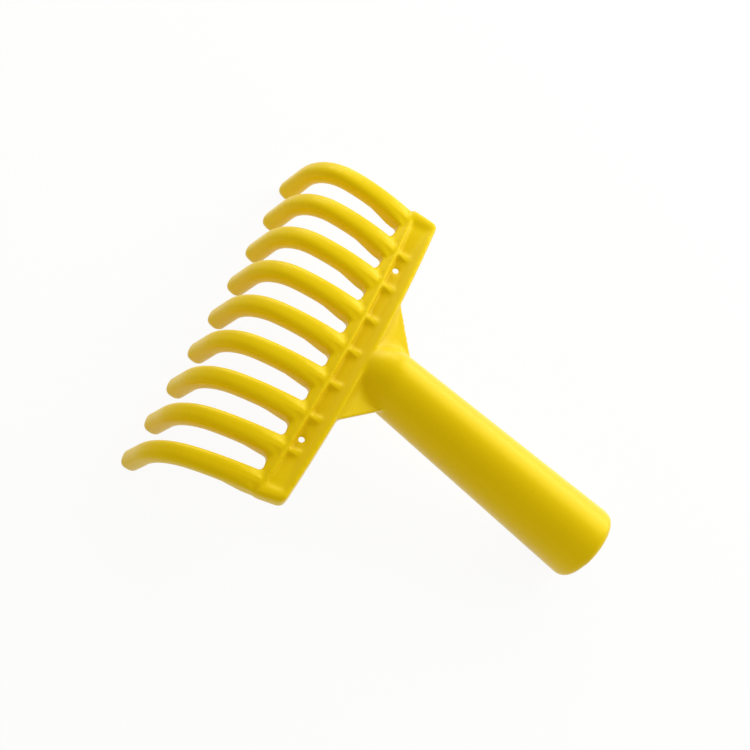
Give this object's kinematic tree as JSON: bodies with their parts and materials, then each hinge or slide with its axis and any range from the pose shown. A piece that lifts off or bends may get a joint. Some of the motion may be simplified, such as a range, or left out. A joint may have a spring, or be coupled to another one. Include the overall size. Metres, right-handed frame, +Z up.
{
  "type": "olive rake",
  "caption": "Hand rake for stripping olives: bent tines on an arched, ribbed bar with a hollow tapered handle that also takes a pole.",
  "frame": {"origin": "middle of the rake's footprint, on the surface it rests on with tine tips and handle mouth down", "axes": "+X along the bar, +Y from the handle's mouth towards the tines, +Z up from the resting surface"},
  "size_m": [0.1872, 0.2182, 0.0631],
  "materials": {
    "moulded_plastic": "smooth moulded polypropylene with a soft gloss"
  },
  "bodies": {
    "root": {"tray_floor": "moulded_plastic", "front_rib": "moulded_plastic", "rear_rim": "moulded_plastic", "end_wall_right": "moulded_plastic", "end_wall_left": "moulded_plastic", "cross_rib_2": "moulded_plastic", "cross_rib_3": "moulded_plastic", "cross_rib_4": "moulded_plastic", "cross_rib_5": "moulded_plastic", "cross_rib_6": "moulded_plastic", "cross_rib_7": "moulded_plastic", "cross_rib_8": "moulded_plastic", "tine_web_1": "moulded_plastic", "tine_web_2": "moulded_plastic", "tine_web_3": "moulded_plastic", "tine_web_4": "moulded_plastic", "tine_web_5": "moulded_plastic", "tine_web_6": "moulded_plastic", "tine_web_7": "moulded_plastic", "tine_web_8": "moulded_plastic", "tine_1": "moulded_plastic", "tine_2": "moulded_plastic", "tine_3": "moulded_plastic", "tine_4": "moulded_plastic", "tine_5": "moulded_plastic", "tine_6": "moulded_plastic", "tine_7": "moulded_plastic", "tine_8": "moulded_plastic", "tine_9": "moulded_plastic", "handle_socket": "moulded_plastic", "gusset_right": "moulded_plastic", "gusset_left": "moulded_plastic"}
  },
  "joints": []
}
